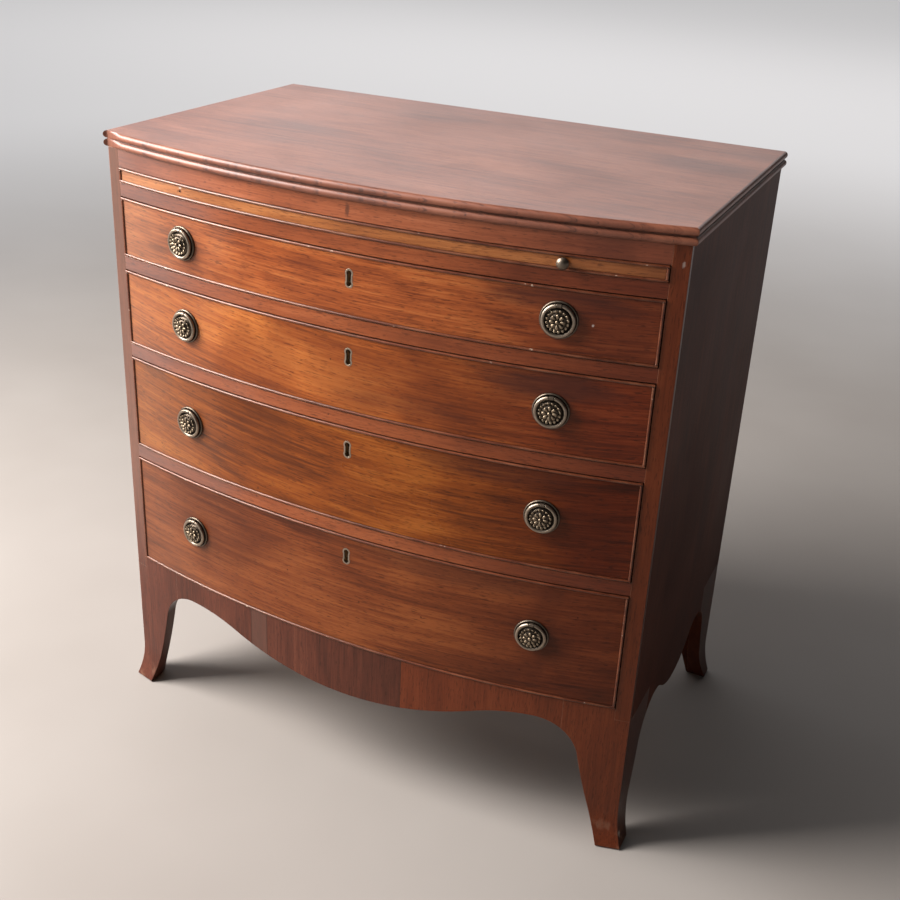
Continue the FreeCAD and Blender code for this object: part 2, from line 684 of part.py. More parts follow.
def make_handle():
    """Plate with boss, stud and knuckle, its nut, its ring and its bore, made at the origin facing -y."""
    height = of("boss_height")
    floor = height - of("plate_thickness")
    dome = height - of("boss_step")
    rim = of("plate_radius") - of("rim_width")
    stud = of("front_thickness") + of("nut_height") + of("stud_end")
    turned_plate = spun("plate_turned", "XY_Plane", [
        (ZERO, ZERO), (of("boss_radius"), dome, arc_radius(of("boss_radius"), dome)),
        (of("boss_radius"), floor), (rim, floor),
        (of("plate_radius"), floor, arc_radius(of("rim_width") / 2, of("rim_rise"))),
        (of("plate_radius"), height), (of("stud_radius"), height), (of("stud_radius"), height + stud),
        (ZERO, height + stud),
    ])
    place(turned_plate, ZERO, -height, ZERO)

    ring = of("ring_radius")
    stand = of("ring_stand")
    reach = of("knuckle_width") / 2
    end = (reach + of("ring_end_gap")) * ring / (ring - of("ring_tube"))
    pivot = root(ring * ring - end * end)
    foot = of("knuckle_radius") * KNUCKLE_FOOT_SHARE
    barrel = rod("knuckle_barrel", of("knuckle_radius"), reach * 2, (-reach, -stand, pivot), "x")
    neck = box("knuckle_neck", (-reach, reach), (-stand, of("plate_thickness") / -2),
               (pivot - foot, pivot + foot))
    eye = rod("knuckle_eye", of("pin_radius") + of("pin_clearance"), (reach + overrun) * 2,
              (-reach - overrun, -stand, pivot), "x")
    plate = cut("handle_plate", fuse("plate_blank", turned_plate, barrel, neck), eye)

    nut = doc.addObject("Part::Prism", "nut_blank")
    nut.Polygon = 6
    bind(nut, Circumradius=of("nut_radius"), Height=of("nut_height"))
    place(turned(nut, (1, 0, 0), -90), ZERO, of("front_thickness") + of("seat_clearance"), ZERO)
    nut = cut("handle_nut", nut, rod("nut_bore", of("stud_radius"), stud, (ZERO, ZERO, ZERO), "y"))

    loop = doc.addObject("Part::Torus", "ring_loop")
    gap = slant(end, ring)
    bind(loop, Radius1=ring, Radius2=of("ring_tube"), Angle3=FULL_TURN - gap * 2)
    loop.setExpression("Placement.Rotation.Angle", (gap + QUARTER_TURN).text)
    pin = rod("ring_pin", of("pin_radius"), end + of("pin_root") - of("pin_tip"),
              (of("pin_tip"), pivot, ZERO), "x")
    flat = fuse("ring_flat", loop, pin, mirrored("ring_pin_left", pin))
    upright = place(turned(group("ring_upright", flat), (1, 0, 0), 90), ZERO, -stand, ZERO)

    bore = rod("stud_bore", of("stud_radius") + of("stud_clearance"), stud + overrun,
               (ZERO, -overrun, ZERO), "y")
    return group("plate_and_nut", plate, nut), upright, bore


def comb(name, x, y, z, forward):
    """Row of dovetails on the end of a drawer side, flaring from one place on y to another."""
    rise = z[1] - z[0]
    count = round(rise.value / of("tail_pitch").value)
    pitch = rise / count
    start = of("tail_root")
    tip = start + (y[0] - y[1] if forward else y[1] - y[0])
    corners = [(ZERO, ZERO)]
    for tail in range(count):
        middle = pitch * (tail * 2 + 1) / 2
        root_half = pitch * TAIL_ROOT_SHARE
        tip_half = pitch * TAIL_END_SHARE
        corners += [(start, middle - root_half), (tip, middle - tip_half),
                    (tip, middle + tip_half), (start, middle + root_half)]
    body = padded(name, "YZ_Plane", [*corners, (ZERO, rise)], x[1] - x[0])
    if forward:
        return place(turned(body, (0, 0, 1), 180), x[1], y[0] + start, z[0])
    return place(body, x[0], y[0] - start, z[0])


def make_drawer(number):
    """Drawer with a beaded, bowed front, a lock and two ring handles."""
    name = f"drawer_{number}"
    low = floors[number] + of("drawer_gap_below")
    high = ceilings[number] - of("drawer_gap_above")
    beads = bead_frame(name, low, high)
    node(f"{name}_cockbeads", *beads)

    inside = box_half - of("side_thickness")
    board_low = low + of("drawer_bottom_rise")
    board_high = board_low + of("drawer_bottom_thickness")
    board_half = inside + of("groove_depth")
    bottom = slab(f"{name}_bottom_solid", (-board_half, board_half), drawer_back, (board_low, board_high),
                  front_inside + of("groove_depth"))
    node(f"{name}_bottom", bottom)
    side_x = (inside, box_half)
    side_low = floors[number] + of("runner_clearance")
    side_high = high - of("side_drop")
    shoulder = side_high - of("side_round")
    length = drawer_back - front
    thickness = of("side_thickness")
    side = padded(f"{name}_side_section", "XZ_Plane", [
        (ZERO, ZERO), (thickness, ZERO), (thickness, shoulder - side_low),
        (ZERO, shoulder - side_low, arc_radius(thickness / 2, of("side_round"))),
    ], length)
    place(side, inside, drawer_back, side_low)
    side = common(f"{name}_side_board", side, bow(front_inside))
    lap = bow_radius - of("tail_lap")
    tails = comb(f"{name}_front_tails", side_x, (
        bow_y(box_half, front_inside), bow_y(inside, lap) - of("tail_root")), (side_low, shoulder), True)
    tails = common(f"{name}_front_dovetails", tails, bow(lap))
    back_y = (drawer_back - of("drawer_back_thickness"), drawer_back)
    back_z = (board_high, side_high - of("back_drop"))
    back_tails = comb(f"{name}_back_dovetails", side_x, (back_y[0], back_y[1] + overrun), back_z, False)
    back_board = cut(f"{name}_back", box(f"{name}_back_board", (-box_half, box_half), back_y, back_z),
                     back_tails, mirrored(f"{name}_back_dovetails_left", back_tails))
    side = cut(f"{name}_side", fuse(f"{name}_side_tailed", side, tails), bottom, back_board)
    node(f"{name}_box", side, mirrored(f"{name}_side_left", side), back_board)

    lock_back = front + of("front_thickness")
    lock_half = of("lock_width") / 2
    lock_x = (-lock_half, lock_half)
    lock_front = lock_back - of("lock_depth")
    block = box(f"{name}_lock_block", lock_x, (lock_front, lock_back), (high - of("lock_height"), high))
    recess = box(f"{name}_lock_recess", lock_x, (lock_front, lock_back + overrun),
                 (high - of("lock_height"), high + overrun))
    bolt_x = of("bolt_width") / 2
    bolt_y = of("bolt_thickness") / 2
    bolt_middle = lock_back - of("lock_depth") / 2
    bolt_high = high - of("bolt_gap")
    bolt_low = bolt_high - of("bolt_length")
    play = of("bolt_clearance")
    bolt = box(f"{name}_bolt", (-bolt_x, bolt_x), (bolt_middle - bolt_y, bolt_middle + bolt_y),
               (bolt_low, bolt_high))
    node(f"{name}_lock_bolt", bolt)
    slot = box(f"{name}_bolt_slot", (-bolt_x - play, bolt_x + play),
               (bolt_middle - bolt_y - play, bolt_middle + bolt_y + play), (bolt_low - play, high + overrun))
    key_z = high - of("keyhole_drop")
    hole = keyhole(f"{name}_keyhole", key_z, (front - overrun, bolt_middle + bolt_y), ZERO)
    thread_y = (front - of("escutcheon_proud"), front + of("escutcheon_depth"))
    thread = keyhole(f"{name}_thread_blank", key_z, thread_y, of("escutcheon_wall"))
    node(f"{name}_lock", cut(f"{name}_lock_case", block, slot, hole), cut(f"{name}_thread", thread, hole))

    handle_z = low + (high - low) * HANDLE_HEIGHT_SHARE
    plate = on_bow(f"{name}_plate_right", handle_plate, handle_z)
    ring = on_bow(f"{name}_ring_right", handle_ring, handle_z)
    bore = on_bow(f"{name}_bore_right", handle_bore, handle_z)
    node(f"{name}_handle_plates", plate, mirrored(f"{name}_plate_left", plate))
    node(f"{name}_right_ring", ring)
    node(f"{name}_left_ring", mirrored(f"{name}_ring_left", ring))

    blank = bent(f"{name}_front_blank", (-box_half, box_half), (low, high), bow_radius, front_inside)
    node(f"{name}_front", cut(f"{name}_front_solid", blank, *beads, bottom, recess, hole, thread, bore,
                              mirrored(f"{name}_bore_left", bore), tails,
                              mirrored(f"{name}_front_dovetails_left", tails)))


make_top()
make_carcass()
make_base()
make_glue_blocks()
bead_rail = make_bead_rail()
make_slide()
handle_plate, handle_ring, handle_bore = make_handle()
for number in drawers:
    make_drawer(number)

doc.recompute()
for item in doc.Objects:
    if {"Invalid", "Error"} & set(item.State):
        raise RuntimeError(f"{item.Name} did not build")
os.makedirs("parts", exist_ok=True)
for name, piece in nodes.items():
    if piece.Shape.isNull() or not piece.Shape.isValid():
        raise RuntimeError(f"{name} has no sound shape")
    piece.Shape.exportStep(f"parts/{name}.step")
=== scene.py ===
"""A bow front chest of drawers in old polished mahogany, dressed for its portrait, in metres."""
import math

import bmesh
import bpy
from mathutils import Matrix, Vector


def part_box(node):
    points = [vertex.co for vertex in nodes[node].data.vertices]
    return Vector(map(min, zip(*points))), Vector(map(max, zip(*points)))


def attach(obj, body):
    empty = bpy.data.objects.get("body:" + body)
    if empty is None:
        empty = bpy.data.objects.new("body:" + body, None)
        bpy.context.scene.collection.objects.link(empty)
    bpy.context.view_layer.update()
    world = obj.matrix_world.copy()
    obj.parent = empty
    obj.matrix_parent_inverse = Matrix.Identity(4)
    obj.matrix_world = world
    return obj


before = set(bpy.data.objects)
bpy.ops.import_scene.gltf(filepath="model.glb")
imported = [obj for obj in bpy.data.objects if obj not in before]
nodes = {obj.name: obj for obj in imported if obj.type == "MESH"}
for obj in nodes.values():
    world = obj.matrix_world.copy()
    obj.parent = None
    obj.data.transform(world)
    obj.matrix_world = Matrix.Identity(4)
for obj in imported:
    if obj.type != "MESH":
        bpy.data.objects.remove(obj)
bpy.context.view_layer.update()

# The bow of the front: an upright cylinder about an axis behind the chest
BOW_RADIUS = 1.6285818
BOW_AXIS = 1.3680818
VENEER_SPAN = (BOW_RADIUS - 0.0016, BOW_RADIUS - 0.0012)
BEAD_NOSE_SPAN = (BOW_RADIUS + 0.0008, BOW_RADIUS + 0.0019)

# The handles: their place on the bow and the dome of their boss
HANDLE_X = 0.273
HANDLE_TURN = math.asin(HANDLE_X / BOW_RADIUS)
HANDLE_Y = BOW_AXIS - math.sqrt(BOW_RADIUS ** 2 - HANDLE_X ** 2)
BOSS_HEIGHT = 0.010
DOME_RADIUS = 0.020345

# The flower on a boss: its bead, and each ring's count, offset, reach, length, width and height
FLOWER_BEAD = 0.0026
FLOWER_RINGS = (
    (8, 0.0, 0.0056, 0.0086, 0.0056, 0.0038),
    (16, 0.5, 0.0108, 0.0084, 0.0054, 0.0018),
)

# The top is duller below this height, on its moulded edge
TOP_FACE = 0.9074
EDGE_FADE = 0.0008
EDGE_DULLNESS = 0.54

# The base's veneer: joints between its leaves on x, where leaves begin or end, where a painted sheen lies on
# the left stile, and heights of wear
LEAF_JOINTS = (-0.1680, -0.1387, 0.0890)
JOINT_RIM = 0.0012
JOINT_CORE = 0.0003
RIGHT_LEAF_START = (0.0885, 0.0897)
STRIP_START = (-0.1685, -0.1675)
STRIP_END = (-0.1382, -0.1392)
STILE_SHEEN_END = (-0.391, -0.394)
STILE_SHEEN_FOOT = (0.15, 0.40)
SCUFF_HEIGHTS = (0.075, 0.005)
SCUFF_CLOUDS = (70, 70, 40)
SCUFF_SPAN = (0.52, 0.72)
FLANK_SPAN = (0.6, 0.8)
BASE_ROUGHNESS = 0.34
BASE_SHINE = 0.42

# The back: its left edge on x and the width of one board, and how far the grain shifts between boards
BACK_BOARDS = (-0.4042, 0.16168)
BOARD_SHIFT = 1.9
# where the painted shadow line lies at each seam between boards
SEAM_SPAN = (0.491, 0.497)

# Grain directions: 2 marks the axis that the grain runs along, 1 what it shows across, 0 the depth
FRONT_GRAIN = (2, 0, 1)
TOP_GRAIN = (2, 1, 0)
SIDE_GRAIN = (0, 1, 2)
ALONG_X = (2, 1, 1)
ALONG_Y = (1, 2, 1)
ALONG_Z = (1, 1, 2)

# Mahogany's figure in layers: scale across the grain, share of it along the grain, seed, detail, distortion
FIGURE_LAYERS = {
    "broad": (11, 0.32, 0, 3, 0.9),
    "ribbon": (120, 0.06, 3, 3, 0.35),
    "streak": (430, 0.035, 7, 2, 0.0),
    "pores": (1000, 0.08, 11, 1, 0.0),
    "dashes": (500, 0.12, 15, 1, 0.0),
}
FIGURE_SHARES = {"broad": 0.42, "ribbon": 0.27, "streak": 0.31}
MAHOGANY_STOPS = (0.35, 0.5, 0.645)
PORE_SPAN = (0.60, 0.70)
DASH_SPAN = (0.66, 0.74)
PORE_DARKNESS = 0.62

# How polished wood ages, and where painted shade and dirt darken its corners: lengths in metres, spans of a
# noise, and scales of its clouds
EDGE_SAMPLES = 4
EDGE_SPAN = (0.995, 0.85)
EDGE_RADIUS = 0.0012
CORNER_SAMPLES = 6
CORNER_SPAN = (0.82, 0.42)
CORNER_REACH = 0.006
SHADE_CLOUDS = (5, 5, 5)
SHADE_SPAN = (0.52, 0.68)
SHADE_DRIFT = 0.3
RUB_CLOUDS = (60, 60, 60)
RUB_SPAN = (0.35, 0.65)
FLECK_SCALE = 42
FLECK_SPAN = (0.075, 0.03)
RIM_SCALE = 1.6
RIM_SEED = 5.0
RIM_SHARE = 0.35
GLOSS_DRIFT = 0.16
COAT_SHARE = 0.3
COAT_ROUGHNESS = 0.22
STREAK_RELIEF = 0.4
GRAIN_RELIEF = (0.12, 0.0006)

# Where on x the fronts grow darker to the right, painted shade over the old polish's own darkening, and where
# a painted sheen lies on them to the left
RIGHT_SHADE_AND_STAIN_SPAN = (0.06, 0.37)
PAINTED_SHEEN_SPAN = (-0.10, -0.42)

# What a polish does to the light that it throws back
SHELLAC = (1.0, 0.72, 0.56)
BEAD_POLISH = (1.0, 0.80, 0.72)
CLEAR = (1.0, 0.95, 0.94)

# Mahogany of each piece: dark, middle and light tones. The apron's, which the stiles and front feet share,
# are darker than the wood as painted shade low on the front
FRAME_TONES = ((0.125, 0.028, 0.010), (0.247, 0.060, 0.019), (0.340, 0.094, 0.032))
FRIEZE_TONES = ((0.140, 0.032, 0.014), (0.285, 0.076, 0.029), (0.385, 0.116, 0.050))
TOP_TONES = ((0.110, 0.029, 0.013), (0.200, 0.058, 0.027), (0.275, 0.092, 0.046))
SIDE_TONES = ((0.040, 0.008, 0.003), (0.075, 0.016, 0.006), (0.110, 0.026, 0.010))
APRON_SHADED_TONES = ((0.044, 0.011, 0.007), (0.086, 0.021, 0.012), (0.130, 0.036, 0.020))
APRON_RIGHT_SHADED_TONES = ((0.074, 0.013, 0.004), (0.130, 0.024, 0.007), (0.178, 0.038, 0.012))
SLIDE_TONES = ((0.180, 0.050, 0.014), (0.320, 0.104, 0.028), (0.440, 0.165, 0.052))
BEAD_TONES = ((0.050, 0.012, 0.006), (0.115, 0.028, 0.011), (0.185, 0.050, 0.019))

# Cock beads: their rubbed edges, painted shade and dirt in their corners, patches and nicks
BEAD_EDGE_RADIUS = 0.0016
BEAD_CORNER_REACH = 0.004
BEAD_CLOUDS = (26, 26, 40)
BEAD_RUB_SPAN = (0.45, 0.68)
NICK_CLOUDS = (110, 110, 160)
NICK_SPAN = (0.71, 0.75)
BEAD_RELIEF = (0.15, 0.0006)
BEAD_ROUGHNESS = 0.29
BEAD_SHINE = 0.56

# Bare wood inside and behind: tones, rings and lines as scale and share along the grain, grime, and painted
# shade in corners
OAK_TONES = ((0.17, 0.098, 0.047), (0.29, 0.178, 0.094), (0.40, 0.264, 0.150))
PINE_TONES = ((0.22, 0.115, 0.049), (0.36, 0.200, 0.092), (0.47, 0.285, 0.145))
BARE_STOPS = (0.35, 0.5, 0.65)
RING_LAYER = (45, 0.03)
LINE_LAYER = (420, 0.015)
RING_SHARE = 0.65
LINE_SHARE = 0.35
GRIME_CLOUDS = (7, 7, 7)
GRIME_SPAN = (0.5, 0.75)
BARE_EDGE_RADIUS = 0.001
BARE_CORNER_REACH = 0.012
BARE_RELIEF = (0.25, 0.0008)
BARE_ROUGH_SPAN = (0.3, 0.7)
BARE_ROUGHNESS = (0.62, 0.8)

# The core that shows behind the veneer
CORE_TONES = ((0.20, 0.115, 0.05), (0.33, 0.20, 0.10))
CORE_CLOUDS = (8, 60, 220)
PAIR_STOPS = (0.3, 0.7)

# Tones of wear and dirt, and of painted shade, shadow and sheen
WORN_EDGE = (0.42, 0.22, 0.12)
WORN_TOP_EDGE = (0.34, 0.17, 0.11)
WORN_BASE_EDGE = (0.30, 0.15, 0.09)
WORN_BEAD = (0.36, 0.16, 0.085)
BEAD_NICK = (0.46, 0.33, 0.25)
BEAD_SHADE_AND_DIRT = (0.014, 0.005, 0.004)
BOARD_SEAM_SHADOW = (0.020, 0.013, 0.008)
LEAF_JOINT = (0.020, 0.008, 0.006)
PALE_STRIP = (0.110, 0.055, 0.042)
FOOT_SCUFF = (0.24, 0.13, 0.085)
CHIP = (0.62, 0.56, 0.50)
CLOUD = (0.034, 0.009, 0.008)
BRUISE = (0.05, 0.016, 0.010)
# painted shade, over the old polish's own darkening, multiplied into the right ends of the fronts
RIGHT_SHADE_AND_STAIN = (0.39, 0.20, 0.26)
# painted sheen laid over the left ends of the fronts and over the left stile
PALE_SHEEN = (0.46, 0.34, 0.27)
GREY_SHEEN = (0.20, 0.19, 0.16)
MAUVE_SHEEN = (0.115, 0.120, 0.125)

# Brass: from its hollows to its open faces, and where it is rubbed
PLATE_BRASS = ((0.010, 0.007, 0.005), (0.052, 0.039, 0.029), (0.112, 0.086, 0.064), (0.166, 0.130, 0.099))
RING_BRASS = ((0.018, 0.013, 0.009), (0.088, 0.067, 0.049), (0.210, 0.165, 0.124), (0.325, 0.262, 0.200))
FLOWER_BRASS = ((0.010, 0.007, 0.005), (0.052, 0.037, 0.024), (0.160, 0.120, 0.080), (0.290, 0.222, 0.152))
RUBBED_PLATE = (0.34, 0.27, 0.18)
RUBBED_RING = (0.50, 0.41, 0.29)
RUBBED_FLOWER = (0.42, 0.33, 0.23)
BRASS_STOPS = (0.0, 0.45, 0.8, 1.0)
BRASS_EDGE_RADIUS = 0.0005
BRASS_REACH = 0.0035
BRASS_OPEN_SPAN = (0.35, 0.95)
BRASS_CLOUDS = (160, 160, 160)
BRASS_SEED = 2.0
BRASS_DRIFT = 0.7
BRASS_RELIEF = (0.06, 0.0004)
BRASS_ROUGH_SPAN = (0.1, 0.9)
BRASS_METAL = 0.92

# Knocks and clouds in the polish: centre, radius, stretch, tone and amount
ROUND = (1, 1, 1)
TALL = (1, 1, 0.55)
TOP_MARKS = (
    ((0.4096, -0.172, 0.897), 0.004, ROUND, CHIP, 0.9),
    ((0.33, 0.10, 0.908), 0.11, (1, 1.8, 1), CLOUD, 0.3),
    ((-0.10, 0.17, 0.908), 0.10, (0.7, 2.2, 1), CLOUD, 0.2),
)
FRIEZE_MARKS = (
    ((-0.0037, -0.2605, 0.8734), 0.010, (2.4, 1, 0.9), BRUISE, 0.7),
)
SLIDE_MARKS = (
    ((-0.2719, -0.2375, 0.8514), 0.0030, ROUND, CLOUD, 0.9),
    ((-0.2766, -0.2367, 0.8505), 0.0014, ROUND, CLOUD, 0.9),
    ((-0.2712, -0.2375, 0.8560), 0.0030, (0.8, 1, 1.2), CHIP, 0.6),
)
BASE_MARKS = (
    ((0.4174, -0.2061, 0.0197), 0.005, TALL, CHIP, 0.9),
    ((0.4067, -0.2089, 0.8633), 0.0026, TALL, CHIP, 0.35),
)

# Each drawer front's leaf: tones (darker on lower drawers as painted shade), arch of its grain, painted shade
# and old polish darkening to the right, painted sheen to the left, sheen, marks
DRAWERS = {
    1: {
        "tones": ((0.122, 0.024, 0.007), (0.298, 0.070, 0.016), (0.432, 0.130, 0.034)),
        "arch": (-0.06, 0.1), "right_shade_and_stain": 0.75, "painted_sheen": 0.33, "sheen": 0.38,
        "marks": (
            ((0.3134, -0.2301, 0.7774), 0.0022, ROUND, CHIP, 0.7),
            ((0.27, -0.235, 0.806), 0.12, (1, 1, 4.5), CLOUD, 0.5),
        ),
    },
    2: {
        "tones": ((0.127, 0.025, 0.005), (0.315, 0.074, 0.012), (0.455, 0.138, 0.028)),
        "arch": (-0.16, 0.16), "right_shade_and_stain": 0.95, "painted_sheen": 0.24, "sheen": 0.36,
        "marks": (
            ((0.255, -0.235, 0.694), 0.12, (1, 1, 4.6), CLOUD, 0.65),
            ((0.08, -0.26, 0.63), 0.10, (0.8, 1, 5.0), CLOUD, 0.2),
        ),
    },
    3: {
        "tones": ((0.086, 0.018, 0.003), (0.215, 0.049, 0.006), (0.320, 0.092, 0.014)),
        "arch": (-0.18, 0.12), "right_shade_and_stain": 1.0, "painted_sheen": 0.18, "sheen": 0.28,
        "marks": (((0.20, -0.245, 0.565), 0.12, (0.8, 1, 5.0), CLOUD, 0.4),),
    },
    4: {
        "tones": ((0.072, 0.015, 0.005), (0.165, 0.038, 0.010), (0.250, 0.068, 0.018)),
        "arch": (-0.08, 0.0), "right_shade_and_stain": 0.7, "painted_sheen": 0.1, "sheen": 0.27,
        "marks": (((0.16, -0.25, 0.40), 0.13, (0.7, 1, 5.0), CLOUD, 0.35),),
    },
}

# The floor: tones near the chest, and a far floor with a little light of its own
FLOOR_SIZE = 30.0
FLOOR_TONES = ((0.300, 0.268, 0.245), (0.335, 0.303, 0.280))
FLOOR_CLOUDS = (2, 2, 2)
FLOOR_ROUGHNESS = 0.8
FAR_FLOOR = (0.26, 0.255, 0.26)
FAR_SPAN = (1.2, 5.0)
FAR_GLOW = (1.0, 0.985, 0.985)
FAR_GLOW_STRENGTH = 0.45

# Light from around, strongest from the left, and the backdrop that the camera sees in its place
AROUND = (0.96, 0.97, 1.0)
AROUND_LEVELS = {"From Min": -0.8, "From Max": 0.2, "To Min": 0.74, "To Max": 0.025}
BACKDROP = (0.62, 0.615, 0.62)

# Lamps: place, aim, width and height, watts and colour
LAMPS = {
    "broad_lamp": ((-1.9, -1.0, 2.0), (0, -0.2, 1.2), (1.4, 1.7), 215, (1.0, 0.97, 0.94)),
    "far_lamp": ((-1.5, 6.5, 3.2), (-1.5, 6.5, 0), (9.0, 4.0), 185, (1.0, 0.98, 0.97)),
}

# The camera: place and sight in metres, turn in degrees, sensor in millimetres, its picture in pixels
CAMERA_PLACE = (0.728727, -1.528076, 1.274238)
CAMERA_SIGHT = 50
CAMERA_TURN = (-24.26, -24.969, 2.959)
SENSOR_WIDTH = 36
PICTURE_SIZE = 900
PICTURE_CENTRE = (456.568, 421.906)
FOCAL_LENGTH = 1219.945


class Finish:
    """A material in the making: most calls add a node or two and hand back an output."""

    def __init__(self, name):
        self.material = bpy.data.materials.new(name)
        self.material.use_nodes = True
        self.tree = self.material.node_tree
        self.surface = self.tree.nodes["Principled BSDF"]
        self.here = self.add("ShaderNodeTexCoord").outputs["Object"]
        self.place = self.here

    def put(self, socket, value):
        """Link an output to a socket, or set a plain value on it."""
        if isinstance(value, bpy.types.NodeSocket):
            self.tree.links.new(value, socket)
        else:
            socket.default_value = value

    def add(self, kind, inputs=None, **settings):
        """Add a node with its settings and inputs."""
        node = self.tree.nodes.new(kind)
        for key, value in settings.items():
            setattr(node, key, value)
        for key, value in (inputs or {}).items():
            self.put(node.inputs[key], value)
        return node

    def work(self, operation, first, second=0.0, clamp=False):
        """One step of arithmetic."""
        node = self.add("ShaderNodeMath", {0: first, 1: second}, operation=operation, use_clamp=clamp)
        return node.outputs[0]

    def times(self, first, second):
        return self.work("MULTIPLY", first, second)

    def plus(self, first, second, clamp=False):
        return self.work("ADD", first, second, clamp)

    def minus(self, first, second):
        return self.work("SUBTRACT", first, second)

    def length(self, vector):
        return self.add("ShaderNodeVectorMath", {0: vector}, operation="LENGTH").outputs["Value"]

    def axis(self, name):
        """The point's own place along one axis."""
        return self.add("ShaderNodeSeparateXYZ", {0: self.here}).outputs[name]

    def from_bow(self):
        """How far a point lies from the upright axis of the bow."""
        flat = self.add("ShaderNodeMapping", {
            "Vector": self.here, "Location": (0.0, -BOW_AXIS, 0.0), "Scale": (1.0, 1.0, 0.0),
        })
        return self.length(flat.outputs[0])

    def steps(self, value, low, high, to_low=0.0, to_high=1.0):
        """Slide a value smoothly from one level to another between two limits."""
        limits = {"From Min": low, "From Max": high, "To Min": to_low, "To Max": to_high}
        node = self.add("ShaderNodeMapRange", {"Value": value, **limits}, interpolation_type="SMOOTHSTEP")
        return node.outputs["Result"]

    def ramp(self, value, stops, tones):
        """Run through tones, each at its stop along a value."""
        node = self.add("ShaderNodeValToRGB", {"Fac": value})
        band = node.color_ramp
        while len(band.elements) < len(tones):
            band.elements.new(0.5)
        for element, stop, tone in zip(band.elements, stops, tones):
            element.position = stop
            element.color = (*tone, 1.0)
        return node.outputs[0]

    def blend(self, factor, under, over, blend_type="MIX"):
        """Lay a tone, or another colour, over a colour."""
        if isinstance(over, tuple):
            over = (*over, 1.0)
        inputs = {0: factor, 6: under, 7: over}
        return self.add("ShaderNodeMix", inputs, data_type="RGBA", blend_type=blend_type).outputs[2]

    def stain(self, colour, mask, amount, tone):
        """Lay a tone over a colour by an amount where a mask is white."""
        return self.blend(self.times(mask, amount), colour, tone)

    def turned(self, degrees):
        """Tilt the grain of everything that follows, about the three axes."""
        turn = [math.radians(angle) for angle in degrees]
        self.place = self.add("ShaderNodeMapping", {"Vector": self.place, "Rotation": turn}).outputs[0]

    def arched(self, bend, middle):
        """Bend the grain into a shallow arc that runs level at one place on x."""
        split = self.add("ShaderNodeSeparateXYZ", {0: self.place})
        run = self.minus(split.outputs["X"], middle)
        lift = self.times(self.times(run, run), bend)
        height = self.plus(split.outputs["Z"], lift)
        bent = {0: split.outputs["X"], 1: split.outputs["Y"], 2: height}
        self.place = self.add("ShaderNodeCombineXYZ", bent).outputs[0]

    def noise(self, stretch, seed, detail=2.0, distortion=0.0):
        """Clouds drawn out by a stretch along each axis."""
        start = (seed, seed * 0.7, seed * 1.3)
        spot = self.add("ShaderNodeMapping", {"Vector": self.place, "Scale": stretch, "Location": start})
        cloud = self.add("ShaderNodeTexNoise", {
            "Vector": spot.outputs[0], "Scale": 1.0, "Detail": detail, "Distortion": distortion,
        })
        return cloud.outputs[0]

    def edges(self, radius):
        """White on sharp edges and black on open faces, and the normal with those edges softened."""
        soft = self.add("ShaderNodeBevel", {"Radius": radius}, samples=EDGE_SAMPLES).outputs[0]
        sharp = self.add("ShaderNodeNewGeometry").outputs["Normal"]
        alike = self.add("ShaderNodeVectorMath", {0: soft, 1: sharp}, operation="DOT_PRODUCT")
        return self.steps(alike.outputs["Value"], *EDGE_SPAN), soft

    def openness(self, reach):
        """White on open faces, darker the deeper a corner is within a reach."""
        node = self.add("ShaderNodeAmbientOcclusion", {"Distance": reach}, samples=CORNER_SAMPLES)
        return node.outputs["AO"]

    def crevice(self, reach):
        """White in corners, where shade falls and old polish and dirt gather, black on open faces: a mask for
        painted shade with dirt.
        """
        return self.steps(self.openness(reach), *CORNER_SPAN)

    def spot(self, centre, radius, stretch):
        """White within a radius of a point, fading at its ragged rim."""
        off = self.add("ShaderNodeVectorMath", {0: self.here, 1: centre}, operation="SUBTRACT").outputs[0]
        off = self.add("ShaderNodeVectorMath", {0: off, 1: stretch}, operation="MULTIPLY").outputs[0]
        wander = self.noise(tuple(RIM_SCALE * share / radius for share in stretch), RIM_SEED, 3)
        far = self.plus(self.length(off), self.times(self.minus(wander, 0.5), radius))
        return self.steps(far, radius, radius * RIM_SHARE)

    def marked(self, colour, marks):
        """Lay each mark of a list on a colour."""
        for centre, radius, stretch, tone, amount in marks:
            colour = self.stain(colour, self.spot(centre, radius, stretch), amount, tone)
        return colour

    def raised(self, height, strength, depth, soft):
        """Give the surface a fine relief over its softened edges."""
        relief = self.add("ShaderNodeBump", {
            "Strength": strength, "Distance": depth, "Height": height, "Normal": soft,
        })
        self.put(self.surface.inputs["Normal"], relief.outputs[0])

    def finished(self, sockets):
        """Fill the surface's sockets and hand back the material."""
        for name, value in sockets.items():
            self.put(self.surface.inputs[name], value)
        return self.material


def along(weights, scale, squeeze):
    """Stretch for a noise: full scale across the grain, a share of it along the grain."""
    return tuple(scale * (squeeze if weight == 2 else weight) for weight in weights)


def shaded(tone, red, green, blue):
    """A tone with each of its colours taken to a share of itself."""
    return (tone[0] * red, tone[1] * green, tone[2] * blue)


def mahogany_colour(finish, grain, tones, seed, figure=1.0):
    """Ribbon figure, streaks and pores of mahogany; returns colour, pores and streaks."""
    layers = {}
    for layer, (scale, squeeze, shift, detail, distortion) in FIGURE_LAYERS.items():
        layers[layer] = finish.noise(along(grain, scale, squeeze), seed + shift, detail, distortion)
    mix = 0.5 - 0.5 * figure
    for layer, share in FIGURE_SHARES.items():
        mix = finish.plus(mix, finish.times(layers[layer], share * figure))
    colour = finish.ramp(mix, MAHOGANY_STOPS, tones)
    dashes = finish.steps(layers["dashes"], *DASH_SPAN)
    pores = finish.work("MAXIMUM", finish.steps(layers["pores"], *PORE_SPAN), dashes)
    colour = finish.stain(colour, pores, PORE_DARKNESS, shaded(tones[0], 0.4, 0.35, 0.35))
    return colour, pores, layers["streak"]


